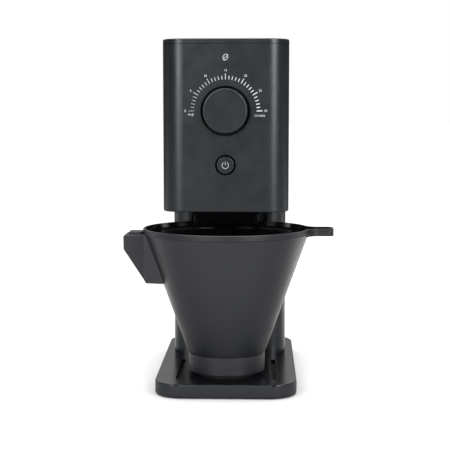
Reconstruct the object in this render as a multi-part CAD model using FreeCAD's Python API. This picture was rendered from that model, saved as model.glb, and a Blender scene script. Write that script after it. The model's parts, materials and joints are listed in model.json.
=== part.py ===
import FreeCAD, Part
import math
import os
from FreeCAD import Vector

# Burr coffee grinder. Millimetres, +Z up, the front faces -Y.
# Every part is laid out on the plane the feet stand on, with the head's front at HEAD_FRONT.
# The finished parts are then moved back by ORIGIN_SHIFT, which puts the origin under the
# middle of the whole object, filter holder included.

# ---- outer form ----
BASE_WIDTH = 137.2
BASE_FRONT = -116.6
BASE_REAR = 130.6
BASE_CORNER = 27.0
BASE_UNDER = 0.6
BASE_TOP = 14.0
GROOVE_X = 46.5
GROOVE_WIDTH = 4.4
GROOVE_DEPTH = 2.2
GROOVE_FRONT = -94.5
GROOVE_REAR = -3.0

BODY_WIDTH = 120.0
HEAD_FRONT = -103.6
HEAD_REAR = 118.0
HEAD_CORNER = 20.2
HEAD_BOTTOM = 177.0
HEAD_RIM = 334.8
HEAD_TOP = 339.7
COLUMN_WIDTH = 120.0
COLUMN_FRONT = 31.0
COLUMN_REAR = 117.0
COLUMN_CORNER = 17.5
RECESS_HALF = 39.5
RECESS_DEPTH = 7.0
WALL = 2.5

# ---- controls on the front ----
DIAL_Z = 272.3
KNOB_R = 20.8
KNOB_PROUD = 10.0
KNOB_RECESS_R = 23.1
DIAL_SHAFT_R = 4.0
BUTTON_Z = 221.6
BUTTON_R = 8.0
BUTTON_GAP_R = 9.5
BUTTON_PROUD = 2.0
HOLE_BEVEL = 0.4

# ---- grinding works ----
BURR_Y = 15.0
HOPPER_Y = 7.0
GEAR_MODULE = 0.9
PINION_TEETH = 12
IDLER_TEETH = 48
BURR_GEAR_TEETH = 54
IDLER_Y = BURR_Y + GEAR_MODULE * (BURR_GEAR_TEETH + PINION_TEETH) / 2
MOTOR_Y = IDLER_Y + GEAR_MODULE * (IDLER_TEETH + PINION_TEETH) / 2
BURR_SHAFT_R = 4.0
MOTOR_SHAFT_R = 2.5
RUNNING_FIT = 0.03
DIAL_PINION_TEETH = 14
CASE_FLOOR = 196.0
CASE_LID = 218.0
CHAMBER_FLOOR = 222.0
CHAMBER_R = 33.0
CHAMBER_TOP = 252.0
RING_Z = 256.0

# ---- filter holder ----
HOLDER_Y = -63.0
SEAT_R = 28.0
SEAT_TOP = 18.9
COLLAR_R = 37.7
COLLAR_BOTTOM = 19.0
COLLAR_TOP = 36.7
CONE_BOTTOM_R = 38.3
CONE_TOP_R = 80.0
BAND_R = 81.8
BAND_BOTTOM = 153.0
RIM_TOP = 158.7
HOLDER_WALL = 2.2
WELL_R = 35.2
WELL_BOTTOM = 21.3
DRAIN_R = 5.0
TAB_REACH = 104.3
TAB_HALF = 12.0
TAB_BOTTOM = 151.6
LEDGE_BOTTOM = 150.2
CHUTE_BOTTOM = 163.4
CHUTE_HALF = 31.0
CHUTE_CORNER = 3.5
CHUTE_FRONT = -82.0
CHUTE_REAR = -42.0
CHUTE_FLANGE = 3.6

ORIGIN_SHIFT = -(HOLDER_Y - BAND_R + BASE_REAR) / 2

UP = Vector(0, 0, 1)
BACK = Vector(0, 1, 0)


# ---- shape helpers ----
def box(x0, x1, y0, y1, z0, z1):
    return Part.makeBox(x1 - x0, y1 - y0, z1 - z0, Vector(x0, y0, z0))


def post(radius, z0, z1, x=0.0, y=0.0):
    return Part.makeCylinder(radius, z1 - z0, Vector(x, y, z0), UP)


def pipe(outer, inner, z0, z1, x=0.0, y=0.0):
    return post(outer, z0, z1, x, y).cut(post(inner, z0, z1, x, y))


def rod(radius, y0, y1, x=0.0, z=0.0):
    return Part.makeCylinder(radius, y1 - y0, Vector(x, y0, z), BACK)


def sleeve(outer, inner, y0, y1, x=0.0, z=0.0):
    return rod(outer, y0, y1, x, z).cut(rod(inner, y0, y1, x, z))


def outline(x0, x1, y0, y1, r, z):
    """Closed wire of a rectangle with round corners."""
    k = r * (1 - math.sqrt(0.5))
    edges = []
    turns = [(x1, y0, -1, 1), (x1, y1, -1, -1), (x0, y1, 1, -1), (x0, y0, 1, 1)]
    ends = []
    for index, (cx, cy, sx, sy) in enumerate(turns):
        along_x = Vector(cx + sx * r, cy, z)
        along_y = Vector(cx, cy + sy * r, z)
        middle = Vector(cx + sx * k, cy + sy * k, z)
        first, last = (along_x, along_y) if index % 2 == 0 else (along_y, along_x)
        ends.append((first, middle, last))
    for index in range(4):
        first, middle, last = ends[index]
        edges.append(Part.Arc(first, middle, last).toShape())
        following = ends[(index + 1) % 4][0]
        edges.append(Part.LineSegment(last, following).toShape())
    return Part.Wire(edges)


def slab(x0, x1, y0, y1, z0, z1, r):
    """Upright prism on a rectangle with round corners."""
    return Part.Face(outline(x0, x1, y0, y1, r, z0)).extrude(Vector(0, 0, z1 - z0))


def ring_slab(x0, x1, y0, y1, z0, z1, r, thick):
    outer = slab(x0, x1, y0, y1, z0, z1, r)
    return outer.cut(slab(x0 + thick, x1 - thick, y0 + thick, y1 - thick, z0, z1, max(r - thick, 0.6)))


def turned(points, x=0.0, y=0.0):
    """Solid of revolution about a vertical axis; points are (radius, z)."""
    wire = Part.makePolygon([Vector(r, 0, z) for r, z in points + points[:1]])
    solid = Part.Face(wire).revolve(Vector(0, 0, 0), UP, 360)
    solid.translate(Vector(x, y, 0))
    return solid


def edges_at(shape, z, tolerance=0.01):
    """Edges that lie level at height z."""
    found = []
    for edge in shape.Edges:
        reach = edge.BoundBox
        if abs(reach.ZMin - z) < tolerance and abs(reach.ZMax - z) < tolerance:
            found.append(edge)
    return found


def front_edges(shape, y, tolerance=0.01):
    """Edges that lie flat in the upright plane at y."""
    found = []
    for edge in shape.Edges:
        reach = edge.BoundBox
        if abs(reach.YMin - y) < tolerance and abs(reach.YMax - y) < tolerance:
            found.append(edge)
    return found


def upright_edges(shape, x, y, tolerance=0.01):
    """Upright edges that pass through (x, y)."""
    found = []
    for edge in shape.Edges:
        reach = edge.BoundBox
        off = max(abs(reach.XMin - x), abs(reach.XMax - x), abs(reach.YMin - y), abs(reach.YMax - y))
        if off < tolerance:
            found.append(edge)
    return found


def spur_gear(teeth, z0, z1, bore, phase, x=0.0, y=0.0):
    """Spur gear; phase is the angle in degrees of one tooth's centre."""
    pitch_r = GEAR_MODULE * teeth / 2
    tip_r = pitch_r + 0.75 * GEAR_MODULE
    root_r = pitch_r - 1.05 * GEAR_MODULE
    step = 360 / teeth
    points = []
    for index in range(teeth):
        middle = phase + index * step
        for radius, share in ((root_r, -0.32), (tip_r, -0.12), (tip_r, 0.12), (root_r, 0.32)):
            angle = math.radians(middle + share * step)
            points.append(Vector(x + radius * math.cos(angle), y + radius * math.sin(angle), z0))
    wire = Part.makePolygon(points + points[:1])
    gear = Part.Face(wire).extrude(Vector(0, 0, z1 - z0))
    return gear.cut(post(bore, z0, z1, x, y))


def screw(x, y, head_z, tip_z, head_r=3.2, shank_r=1.5, head_height=2.0):
    """Upright screw; the head stands on the side away from the tip."""
    way = 1 if tip_z > head_z else -1
    crown_z = head_z - way * head_height
    head = post(head_r, min(head_z, crown_z), max(head_z, crown_z), x, y)
    shank = post(shank_r, min(head_z, tip_z), max(head_z, tip_z), x, y)
    return head.fuse(shank).removeSplitter()


def group(solids):
    return Part.makeCompound(solids)


def corners(half_x, y0, y1):
    return [(-half_x, y0), (half_x, y0), (-half_x, y1), (half_x, y1)]


# ---- places that several parts share ----
BASE_SCREWS = corners(52.0, -78.0, 91.0)
FOOT_PLACES = corners(44.0, -96.0, 110.0)
COLUMN_SCREWS = corners(49.0, 49.0, 105.0)
UNDERSIDE_SCREWS = corners(50.0, -80.0, 4.0)
REAR_SCREWS = corners(42.0, 42.0, 163.0)
POSTS = corners(38.0, BURR_Y - 18.0, BURR_Y + 82.0)
LID_SCREWS = corners(27.0, BURR_Y + 45.0, BURR_Y + 78.0)
CASE_FRONT = BURR_Y - 33.0
CASE_REAR = BURR_Y + 92.0
BOARD_Y = 79.0
HALF_BODY = BODY_WIDTH / 2
HALF_COLUMN = COLUMN_WIDTH / 2
PLATE_TOP = HEAD_BOTTOM + 3.0
DIAL_FLOOR = HEAD_FRONT + 7.0
GLAND_R = 6.0
GLAND_Z = 29.0


# ---- base ----
def base_shell():
    half = BASE_WIDTH / 2
    shell = slab(-half, half, BASE_FRONT, BASE_REAR, BASE_UNDER, BASE_TOP, BASE_CORNER)
    shell = shell.makeFillet(1.3, edges_at(shell, BASE_TOP))
    shell = shell.makeFillet(2.0, edges_at(shell, BASE_UNDER))
    shell = shell.cut(slab(-half + 3, half - 3, BASE_FRONT + 3, BASE_REAR - 3,
                           BASE_UNDER - 1, BASE_TOP - 3, BASE_CORNER - 3))
    for side in (-1, 1):
        x = side * GROOVE_X
        groove = slab(x - GROOVE_WIDTH / 2, x + GROOVE_WIDTH / 2, GROOVE_FRONT, GROOVE_REAR,
                      BASE_TOP - GROOVE_DEPTH, BASE_TOP + 1, GROOVE_WIDTH / 2 - 0.1)
        shell = shell.cut(groove)
    shell = shell.cut(post(SEAT_R + 0.1, BASE_TOP - 1, BASE_TOP + 1, 0, HOLDER_Y))
    for x, y in BASE_SCREWS:
        shell = shell.fuse(pipe(4.0, 1.6, 4.6, BASE_TOP - 2.5, x, y))
    for x, y in COLUMN_SCREWS:
        shell = shell.cut(post(1.9, BASE_TOP - 4, BASE_TOP + 1, x, y))
    return shell.removeSplitter()


def base_cover():
    half = BASE_WIDTH / 2 - 3.2
    cover = slab(-half, half, BASE_FRONT + 3.2, BASE_REAR - 3.2, 2.6, 4.6, BASE_CORNER - 3.2)
    for x, y in BASE_SCREWS:
        cover = cover.cut(post(1.7, 2, 5, x, y))
    for x, y in FOOT_PLACES:
        cover = cover.cut(post(2.1, 2, 5, x, y))
    return cover


def cover_screws():
    screws = [screw(x, y, 2.6, 10, 3.2, 1.5, 1.4) for x, y in BASE_SCREWS]
    screws += [screw(x, y, HEAD_BOTTOM, PLATE_TOP + 8, 3.2, 1.5, 1.4) for x, y in UNDERSIDE_SCREWS]
    return group(screws)


def rubber_feet():
    feet = []
    for x, y in FOOT_PLACES:
        pad = post(8.0, 0, 2.6, x, y)
        pad = pad.makeFillet(0.6, edges_at(pad, 0))
        feet.append(pad.fuse(post(2.0, 2.0, 6.0, x, y)).removeSplitter())
    return group(feet)


def holder_seat():
    pad = post(SEAT_R, BASE_TOP - 1, SEAT_TOP, 0, HOLDER_Y)
    pad = pad.makeFillet(0.6, edges_at(pad, SEAT_TOP))
    return pad.cut(pipe(20.0, 19.0, SEAT_TOP - 0.6, SEAT_TOP + 1, 0, HOLDER_Y))


# ---- column ----
def column_shell():
    top = HEAD_BOTTOM
    outer = slab(-HALF_COLUMN, HALF_COLUMN, COLUMN_FRONT, COLUMN_REAR, BASE_TOP, top, COLUMN_CORNER)
    outer = outer.cut(box(-RECESS_HALF, RECESS_HALF, 0, COLUMN_FRONT + RECESS_DEPTH, BASE_TOP - 1, top + 1))
    lips = upright_edges(outer, -RECESS_HALF, COLUMN_FRONT) + upright_edges(outer, RECESS_HALF, COLUMN_FRONT)
    outer = outer.makeFillet(1.0, lips)
    cavity = slab(-HALF_COLUMN + WALL, HALF_COLUMN - WALL, COLUMN_FRONT + WALL, COLUMN_REAR - 4,
                  BASE_TOP + 3, top + 1, COLUMN_CORNER - WALL)
    inset = RECESS_HALF + WALL
    cavity = cavity.cut(box(-inset, inset, 0, COLUMN_FRONT + RECESS_DEPTH + WALL, BASE_TOP, top + 2))
    shell = outer.cut(cavity)
    shell = shell.cut(box(-40, 40, COLUMN_REAR - 5, COLUMN_REAR + 1, 44, 161))
    shell = shell.cut(box(-44, 44, COLUMN_REAR - 2, COLUMN_REAR + 1, 40, 165))
    for x, y in COLUMN_SCREWS:
        shell = shell.fuse(post(5.0, BASE_TOP, BASE_TOP + 14, x, y))
        shell = shell.cut(post(1.6, BASE_TOP - 1, BASE_TOP + 12, x, y))
        wall_x = math.copysign(HALF_COLUMN - 1, x)
        rib = box(min(x, wall_x), max(x, wall_x), y - 1.2, y + 1.2, top - 16, top)
        shell = shell.fuse(post(5.0, top - 16, top, x, y)).fuse(rib)
        shell = shell.cut(post(1.6, top - 14, top + 1, x, y))
    shell = shell.cut(rod(GLAND_R + 0.05, COLUMN_REAR - 6, COLUMN_REAR + 1, 0, GLAND_Z))
    for x, z in REAR_SCREWS:
        shell = shell.cut(rod(1.3, COLUMN_REAR - 6, COLUMN_REAR + 1, x, z))
    return shell.removeSplitter()


def column_rear_cover():
    cover = box(-43.7, 43.7, COLUMN_REAR - 2, COLUMN_REAR, 40.3, 164.7)
    for row in range(9):
        z = 84 + row * 8
        for side in (-1, 1):
            middle = side * 18
            cover = cover.cut(box(middle - 14, middle + 14, COLUMN_REAR - 3, COLUMN_REAR + 1, z, z + 3))
    for x, z in REAR_SCREWS:
        cover = cover.cut(rod(1.4, COLUMN_REAR - 3, COLUMN_REAR + 1, x, z))
    return cover


def rear_cover_screws():
    screws = []
    for x, z in REAR_SCREWS:
        head = rod(2.2, COLUMN_REAR, COLUMN_REAR + 1.4, x, z)
        screws.append(head.fuse(rod(1.2, COLUMN_REAR - 4, COLUMN_REAR, x, z)).removeSplitter())
    return group(screws)


def cord_gland():
    gland = rod(GLAND_R, COLUMN_REAR - 4, COLUMN_REAR, 0, GLAND_Z)
    gland = gland.fuse(rod(8.5, COLUMN_REAR, COLUMN_REAR + 2, 0, GLAND_Z))
    gland = gland.fuse(rod(7.5, COLUMN_REAR - 6, COLUMN_REAR - 4, 0, GLAND_Z))
    return gland.cut(rod(3.6, COLUMN_REAR - 7, COLUMN_REAR + 3, 0, GLAND_Z)).removeSplitter()


def power_board():
    return box(-40, 40, BOARD_Y - 24, BOARD_Y + 24, 24, 25.6)


def board_standoffs():
    return group([post(3.0, BASE_TOP + 3, 24, x, y) for x, y in corners(34.0, BOARD_Y - 19, BOARD_Y + 19)])


def mains_capacitor():
    can = post(9.0, 25.6, 50, 24, BOARD_Y + 2)
    return can.makeFillet(1.0, edges_at(can, 50))


def transformer():
    core = box(-26, 2, BOARD_Y - 13, BOARD_Y + 13, 25.6, 49)
    winding = slab(-22, -2, BOARD_Y - 17, BOARD_Y + 17, 29, 45, 3.0)
    return core.fuse(winding).removeSplitter()


def motor_leads():
    return group([post(1.1, 25.6, 92, side * 29.0, MOTOR_Y) for side in (-1, 1)])


def column_screws():
    screws = []
    for x, y in COLUMN_SCREWS:
        screws.append(screw(x, y, BASE_TOP - 3, BASE_TOP + 11, 3.6, 1.55))
        screws.append(screw(x, y, PLATE_TOP, HEAD_BOTTOM - 13, 3.6, 1.55))
    return group(screws)


# ---- head ----
def head_housing():
    outer = slab(-HALF_BODY, HALF_BODY, HEAD_FRONT, HEAD_REAR, HEAD_BOTTOM, HEAD_RIM, HEAD_CORNER)
    outer = outer.makeFillet(1.1, edges_at(outer, HEAD_BOTTOM))
    w = WALL
    cavity = slab(-HALF_BODY + w, HALF_BODY - w, HEAD_FRONT + w, HEAD_REAR - w,
                  HEAD_BOTTOM - 1, HEAD_RIM + 1, HEAD_CORNER - w)
    shell = outer.cut(cavity)
    ledge = ring_slab(-HALF_BODY + w, HALF_BODY - w, HEAD_FRONT + w, HEAD_REAR - w,
                      326, 329, HEAD_CORNER - w, 4.5)
    shell = shell.fuse(ledge)
    for radius, z in ((KNOB_RECESS_R, DIAL_Z), (BUTTON_GAP_R, BUTTON_Z)):
        shell = shell.cut(rod(radius, HEAD_FRONT - 1, HEAD_FRONT + w + 1, 0, z))
        mouth = Vector(0, HEAD_FRONT, z)
        shell = shell.cut(Part.makeCone(radius + HOLE_BEVEL, radius, HOLE_BEVEL, mouth, BACK))
    for x, y in UNDERSIDE_SCREWS:
        wall_x = math.copysign(HALF_BODY - 1, x)
        rib = box(min(x, wall_x), max(x, wall_x), y - 1, y + 1, PLATE_TOP, PLATE_TOP + 12)
        shell = shell.fuse(post(4.2, PLATE_TOP, PLATE_TOP + 12, x, y).fuse(rib))
        shell = shell.cut(post(1.6, PLATE_TOP, PLATE_TOP + 12, x, y))
    return shell.removeSplitter()


def underside_cover():
    inset = WALL + 0.2
    plate = slab(-HALF_BODY + inset, HALF_BODY - inset, HEAD_FRONT + inset, HEAD_REAR - inset,
                 HEAD_BOTTOM, PLATE_TOP, HEAD_CORNER - inset)
    plate = plate.cut(post(33.0, HEAD_BOTTOM - 1, PLATE_TOP + 1, 0, MOTOR_Y))
    plate = plate.cut(slab(-CHUTE_HALF - 0.2, CHUTE_HALF + 0.2, CHUTE_FRONT - 0.2, CHUTE_REAR + 0.2,
                           HEAD_BOTTOM - 1, PLATE_TOP + 1, CHUTE_CORNER + 0.2))
    for x, y in UNDERSIDE_SCREWS + COLUMN_SCREWS:
        plate = plate.cut(post(1.8, HEAD_BOTTOM - 1, PLATE_TOP + 1, x, y))
    for x, y in POSTS:
        plate = plate.fuse(pipe(4.5, 1.5, PLATE_TOP, CASE_FLOOR, x, y))
    return plate.removeSplitter()


def lid():
    top = slab(-HALF_BODY, HALF_BODY, HEAD_FRONT, HEAD_REAR, HEAD_RIM + 0.4, HEAD_TOP, HEAD_CORNER)
    top = top.makeFillet(1.2, edges_at(top, HEAD_TOP))
    top = top.cut(slab(-50, 50, HOPPER_Y - 70, HOPPER_Y + 70, HEAD_RIM, HEAD_TOP - 2.4, 14.0))
    inset = WALL + 0.6
    rib = ring_slab(-HALF_BODY + inset, HALF_BODY - inset, HEAD_FRONT + inset, HEAD_REAR - inset,
                    HEAD_RIM - 1.8, HEAD_RIM + 0.6, HEAD_CORNER - inset, 2.0)
    return top.fuse(rib).removeSplitter()


def lid_seal():
    inset = WALL + 2.8
    return ring_slab(-HALF_BODY + inset, HALF_BODY - inset, HEAD_FRONT + inset, HEAD_REAR - inset,
                     HEAD_RIM - 2.2, HEAD_RIM + 0.4, HEAD_CORNER - inset, 1.4)


def bean_hopper():
    inset = WALL + 0.3
    hx = 51.0
    y0, y1 = HOPPER_Y - 72, HOPPER_Y + 72
    flange = slab(-HALF_BODY + inset, HALF_BODY - inset, HEAD_FRONT + inset, HEAD_REAR - inset,
                  330, 332, HEAD_CORNER - inset)
    throat = post(19.8, 262.6, 286, 0, BURR_Y)
    outer_foot = outline(-19.8, 19.8, BURR_Y - 19.8, BURR_Y + 19.8, 19.7, 284)
    outer = Part.makeLoft([outer_foot, outline(-hx, hx, y0, y1, 14, 318)], True)
    outer = outer.fuse(slab(-hx, hx, y0, y1, 318, 331, 14))
    inner_foot = outline(-17.8, 17.8, BURR_Y - 17.8, BURR_Y + 17.8, 17.7, 285)
    inner = Part.makeLoft([inner_foot, outline(-hx + 2, hx - 2, y0 + 2, y1 - 2, 12, 319)], True)
    inner = inner.fuse(slab(-hx + 2, hx - 2, y0 + 2, y1 - 2, 319, 333, 12))
    inner = inner.fuse(post(17.8, 262, 286, 0, BURR_Y))
    return flange.fuse(outer).fuse(throat).cut(inner).removeSplitter()


def hopper_gasket():
    inset = WALL + 0.3
    return ring_slab(-HALF_BODY + inset, HALF_BODY - inset, HEAD_FRONT + inset, HEAD_REAR - inset,
                     329, 330, HEAD_CORNER - inset, 4.0)


# ---- grind dial ----
def dial_cup():
    inside = HEAD_FRONT + WALL
    cup = sleeve(28.0, KNOB_RECESS_R, inside, inside + 1.6, 0, DIAL_Z)
    cup = cup.fuse(sleeve(25.0, KNOB_RECESS_R, inside, DIAL_FLOOR, 0, DIAL_Z))
    cup = cup.fuse(sleeve(25.0, 6.5, DIAL_FLOOR, DIAL_FLOOR + 2, 0, DIAL_Z))
    return cup.removeSplitter()


def dial_bush():
    bush = rod(6.4, DIAL_FLOOR, DIAL_FLOOR + 10, 0, DIAL_Z)
    bush = bush.fuse(rod(9.0, DIAL_FLOOR + 2, DIAL_FLOOR + 4, 0, DIAL_Z))
    bore = rod(DIAL_SHAFT_R + RUNNING_FIT, DIAL_FLOOR - 1, DIAL_FLOOR + 11, 0, DIAL_Z)
    return bush.cut(bore).removeSplitter()


def dial_knob():
    face = HEAD_FRONT - KNOB_PROUD
    back = DIAL_FLOOR - 1.0
    knob = rod(KNOB_R, face, back, 0, DIAL_Z)
    knob = knob.makeFillet(1.3, front_edges(knob, face))
    knob = knob.cut(rod(KNOB_R - 2.0, face - 1, face + 0.5, 0, DIAL_Z))
    knob = knob.cut(rod(DIAL_SHAFT_R, face + 4, back + 1, 0, DIAL_Z))
    return knob.cut(rod(1.2, face - 1, face + 1.1, -17.2, DIAL_Z)).removeSplitter()


def dial_shaft():
    return rod(DIAL_SHAFT_R, HEAD_FRONT - KNOB_PROUD + 4, BURR_Y - 33.2, 0, DIAL_Z)


def dial_pinion():
    """Small gear on the dial's shaft; one tooth points straight down."""
    step = 360 / DIAL_PINION_TEETH
    front = BURR_Y - 39.6
    points = []
    for index in range(DIAL_PINION_TEETH):
        middle = -90 + index * step
        for radius, share in ((5.9, -0.3), (7.7, -0.1), (7.7, 0.1), (5.9, 0.3)):
            angle = math.radians(middle + share * step)
            points.append(Vector(radius * math.cos(angle), front, DIAL_Z + radius * math.sin(angle)))
    wire = Part.makePolygon(points + points[:1])
    gear = Part.Face(wire).extrude(Vector(0, 6.0, 0))
    return gear.cut(rod(DIAL_SHAFT_R, front - 1, front + 7, 0, DIAL_Z))


def dial_bracket():
    bracket = box(-8, 8, BURR_Y - 48, BURR_Y - 44, CHAMBER_TOP + 3.8, DIAL_Z + 8)
    return bracket.cut(rod(DIAL_SHAFT_R + RUNNING_FIT, BURR_Y - 49, BURR_Y - 43, 0, DIAL_Z))


# ---- power button ----
def button_housing():
    inside = HEAD_FRONT + WALL
    floor = inside + 6.4
    cup = sleeve(11.5, BUTTON_GAP_R, inside, floor, 0, BUTTON_Z)
    cup = cup.fuse(sleeve(15.0, BUTTON_GAP_R, inside, inside + 1.5, 0, BUTTON_Z))
    cup = cup.fuse(sleeve(11.5, 3.05, floor, floor + 1.6, 0, BUTTON_Z))
    for side in (-1, 1):
        x0 = min(side * 8.2, side * 10.4)
        cup = cup.fuse(box(x0, x0 + 2.2, floor + 0.5, floor + 10.5, BUTTON_Z - 5, BUTTON_Z + 5))
    return cup.removeSplitter()


def power_button():
    face = HEAD_FRONT - BUTTON_PROUD
    cap = rod(BUTTON_R, face, face + 5.0, 0, BUTTON_Z)
    cap = cap.makeFillet(0.7, front_edges(cap, face))
    return cap.fuse(rod(3.0, face + 5, HEAD_FRONT + WALL + 8.4, 0, BUTTON_Z)).removeSplitter()


def button_spring():
    """Coil of eight-sided wire between the button's cap and the floor of its housing."""
    start = HEAD_FRONT - BUTTON_PROUD + 5.35
    length = HEAD_FRONT + WALL + 6.4 - start - 0.35
    coil_r = 5.0
    wire_r = 0.38
    helix = Part.makeHelix(length / 4, length, coil_r)
    points = []
    for index in range(8):
        angle = math.radians(45 * index)
        points.append(Vector(coil_r + wire_r * math.cos(angle), 0, wire_r * math.sin(angle)))
    section = Part.makePolygon(points + points[:1])
    spring = Part.Wire(helix.Edges).makePipeShell([section], True, True)
    spring.rotate(Vector(0, 0, 0), Vector(1, 0, 0), -90)
    spring.translate(Vector(0, start, BUTTON_Z))
    return spring


def micro_switch():
    front = HEAD_FRONT + WALL + 10.4
    return box(-8.0, 8.0, front, front + 6.5, BUTTON_Z - 5, BUTTON_Z + 5)


# ---- gearbox and motor ----
def gearbox_case():
    case = slab(-33, 33, CASE_FRONT, CASE_REAR, CASE_FLOOR, CASE_LID, 30)
    case = case.cut(slab(-30, 30, CASE_FRONT + 3, CASE_REAR - 3, CASE_FLOOR + 3, CASE_LID + 1, 27))
    for x, y in POSTS:
        ear = post(6.0, CASE_FLOOR, CASE_FLOOR + 3, x, y)
        arm = box(min(x, 0), max(x, 0), y - 5, y + 5, CASE_FLOOR, CASE_FLOOR + 3)
        case = case.fuse(ear).fuse(arm)
        case = case.cut(post(1.8, CASE_FLOOR - 1, CASE_FLOOR + 4, x, y))
    case = case.fuse(post(11.5, CASE_FLOOR - 3, CASE_FLOOR + 3, 0, BURR_Y))
    case = case.cut(post(9.0, CASE_FLOOR - 1, CASE_FLOOR + 4, 0, BURR_Y))
    case = case.cut(post(2.0, CASE_FLOOR - 1, CASE_FLOOR + 4, 0, IDLER_Y))
    case = case.cut(post(5.0, CASE_FLOOR - 1, CASE_FLOOR + 4, 0, MOTOR_Y))
    for side in (-1, 1):
        case = case.cut(post(1.6, CASE_FLOOR - 1, CASE_FLOOR + 4, side * 14, MOTOR_Y + 10))
    return case.removeSplitter()


def gearbox_lid():
    cover = slab(-33, 33, CASE_FRONT, CASE_REAR, CASE_LID, CHAMBER_FLOOR, 30)
    cover = cover.cut(post(9.0, CASE_LID - 1, CHAMBER_FLOOR + 1, 0, BURR_Y))
    for x, y in LID_SCREWS:
        cover = cover.cut(post(1.6, CASE_LID - 1, CHAMBER_FLOOR + 1, x, y))
    return cover.cut(post(2.0, CASE_LID - 1, CASE_LID + 2.2, 0, IDLER_Y)).removeSplitter()


def gearbox_screws():
    screws = []
    for x, y in POSTS:
        screws.append(screw(x, y, CASE_FLOOR + 3, CASE_FLOOR - 12, 3.4, 1.45))
    for x, y in LID_SCREWS:
        screws.append(screw(x, y, CHAMBER_FLOOR, CHAMBER_FLOOR - 3.5, 2.8, 1.5))
    for side in (-1, 1):
        screws.append(screw(side * 14, MOTOR_Y + 10, CASE_FLOOR + 3, CASE_FLOOR - 1.5, 2.8, 1.5, 1.6))
    return group(screws)


def shaft_bearings():
    bearings = []
    for z0 in (CASE_FLOOR, CASE_LID - 1.0):
        race = pipe(9.0, BURR_SHAFT_R + RUNNING_FIT, z0, z0 + 5, 0, BURR_Y)
        bearings.append(race.cut(pipe(7.6, 5.6, z0 + 4.4, z0 + 6, 0, BURR_Y)))
    return group(bearings)


def shaft_seal():
    return pipe(8.0, BURR_SHAFT_R + 0.06, CHAMBER_FLOOR + 1.2, CHAMBER_FLOOR + 3, 0, BURR_Y)


def burr_shaft():
    shaft = post(BURR_SHAFT_R, CASE_FLOOR + 0.5, 266, 0, BURR_Y)
    return shaft.makeChamfer(0.6, edges_at(shaft, 266))


def burr_gear():
    gear = spur_gear(BURR_GEAR_TEETH, 209, 215, BURR_SHAFT_R, 90, 0, BURR_Y)
    for index in range(6):
        angle = math.radians(60 * index)
        gear = gear.cut(post(4.0, 208, 216, 14 * math.cos(angle), BURR_Y + 14 * math.sin(angle)))
    return gear


def idler_gear():
    big = spur_gear(IDLER_TEETH, 201.5, 206.5, 2.0 + RUNNING_FIT, 90, 0, IDLER_Y)
    small = spur_gear(PINION_TEETH, 206.5, 216, 2.0 + RUNNING_FIT, 105, 0, IDLER_Y)
    return big.fuse(small).removeSplitter()


def idler_pin():
    return post(2.0, CASE_FLOOR, CASE_LID + 2, 0, IDLER_Y)


def motor_pinion():
    return spur_gear(PINION_TEETH, 201, 207.5, MOTOR_SHAFT_R, 105, 0, MOTOR_Y)


def motor_can():
    can = post(31.0, 98, CASE_FLOOR, 0, MOTOR_Y)
    can = can.makeFillet(2.0, edges_at(can, CASE_FLOOR))
    can = can.cut(post(28.5, 97, CASE_FLOOR - 3, 0, MOTOR_Y))
    can = can.cut(post(MOTOR_SHAFT_R + RUNNING_FIT, 97, CASE_FLOOR + 1, 0, MOTOR_Y))
    for side in (-1, 1):
        can = can.cut(post(1.6, CASE_FLOOR - 2, CASE_FLOOR + 1, side * 14, MOTOR_Y + 10))
    return can


def motor_magnets():
    ring = pipe(28.4, 23.0, 112, 184, 0, MOTOR_Y)
    gap = box(-40, 40, MOTOR_Y - 9, MOTOR_Y + 9, 111, 185)
    return group(ring.cut(gap).Solids)


def motor_armature():
    core = post(21.0, 120, 176, 0, MOTOR_Y)
    for index in range(8):
        angle = math.radians(45 * index)
        x, y = 21 * math.cos(angle), MOTOR_Y + 21 * math.sin(angle)
        core = core.cut(post(3.0, 119, 177, x, y))
    core = core.fuse(post(15.0, 114, 182, 0, MOTOR_Y)).fuse(post(8.0, 102, 114, 0, MOTOR_Y))
    return core.cut(post(MOTOR_SHAFT_R, 100, 184, 0, MOTOR_Y)).removeSplitter()


def motor_end_cap():
    cap = post(31.0, 92, 98, 0, MOTOR_Y)
    cap = cap.makeFillet(1.5, edges_at(cap, 92))
    for index in range(6):
        angle = math.radians(60 * index + 30)
        cap = cap.cut(post(4.0, 91, 99, 18 * math.cos(angle), MOTOR_Y + 18 * math.sin(angle)))
    return cap.cut(post(MOTOR_SHAFT_R + RUNNING_FIT, 91, 99, 0, MOTOR_Y))


def motor_brushes():
    brushes = []
    for side in (-1, 1):
        x0 = min(side * 8.4, side * 16.0)
        brushes.append(box(x0, x0 + 7.6, MOTOR_Y - 3, MOTOR_Y + 3, 98, 112))
    return group(brushes)


def motor_shaft():
    return post(MOTOR_SHAFT_R, 82, 208, 0, MOTOR_Y)


def motor_fan():
    fan = post(7.0, 83, 90.5, 0, MOTOR_Y).fuse(post(25.0, 83, 84.2, 0, MOTOR_Y))
    for index in range(9):
        blade = box(6, 25, -0.7, 0.7, 84, 90.5)
        blade.rotate(Vector(0, 0, 0), UP, 40 * index)
        blade.translate(Vector(0, MOTOR_Y, 0))
        fan = fan.fuse(blade)
    return fan.cut(post(MOTOR_SHAFT_R, 82, 91, 0, MOTOR_Y)).removeSplitter()


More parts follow.
